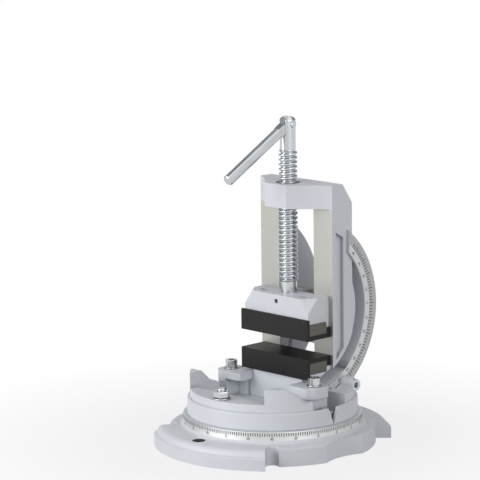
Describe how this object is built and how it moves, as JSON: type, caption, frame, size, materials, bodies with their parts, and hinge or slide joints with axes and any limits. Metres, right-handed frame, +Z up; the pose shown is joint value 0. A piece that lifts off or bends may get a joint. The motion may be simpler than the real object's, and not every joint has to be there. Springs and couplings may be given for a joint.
{
  "type": "tilting drill press vise",
  "caption": "Drill press vise with black jaw covers on a toothless tilt rim and a swivelling round base, each with a degree scale, closed by a lead screw with a folding handle.",
  "frame": {"origin": "on the bench under the swivel axis", "axes": "+Z up along the swivel axis, +X along the jaws and the tilt axis, -Y the side the jaws face at rest"},
  "size_m": [0.2136, 0.254, 0.3471],
  "materials": {
    "casting": "light cool grey enamel over the casting",
    "machined_iron": "milled and left bare",
    "black_cover": "black oxide, satin",
    "block_steel": "ground steel, dull",
    "zinc": "bright zinc plate"
  },
  "bodies": {
    "base": {"base_casting": "casting"},
    "table": {"swivel_table": "casting", "swivel_bolts": "zinc", "swivel_washers": "zinc", "swivel_nuts": "zinc", "left_rim_clamp": "casting", "right_rim_clamp": "casting", "clamp_bolts": "zinc", "clamp_washers": "zinc", "tilt_lock_screw": "zinc"},
    "vise": {"vise_body": "casting", "fixed_jaw_block": "block_steel", "fixed_jaw_cover": "black_cover", "fixed_jaw_screws": "zinc"},
    "slider": {"moving_jaw": "casting", "moving_jaw_block": "block_steel", "moving_jaw_cover": "black_cover", "moving_jaw_screws": "zinc", "keeper_plate": "machined_iron", "keeper_screws": "zinc", "retaining_screw": "zinc"},
    "screw": {"lead_screw": "zinc", "handle_pin": "zinc"},
    "handle": {"handle": "zinc"}
  },
  "joints": [
    {"name": "swivel", "type": "hinge", "parent": "base", "child": "table", "pos_m": [0, 0, 0.033], "axis": [0, 0, 1], "continuous": true},
    {"name": "tilt", "type": "hinge", "parent": "table", "child": "vise", "pos_m": [0, 0, 0.144], "axis": [1, 0, 0], "range_deg": [-90, 0]},
    {"name": "jaw_slide", "type": "slide", "parent": "vise", "child": "slider", "axis": [0, 0, 1], "range_m": [-0.0195, 0.0805]},
    {"name": "screw_spin", "type": "hinge", "parent": "slider", "child": "screw", "pos_m": [0, 0.0265, 0.2], "axis": [0, 0, 1], "range_deg": [-1405, 5797]},
    {"name": "handle_fold", "type": "hinge", "parent": "screw", "child": "handle", "pos_m": [0, 0.0265, 0.3387], "axis": [-1, 0, 0], "range_deg": [0, 240]}
  ],
  "couplings": [
    {"joint": "screw_spin", "follows": "jaw_slide", "rad_per_m": 1256.6}
  ]
}
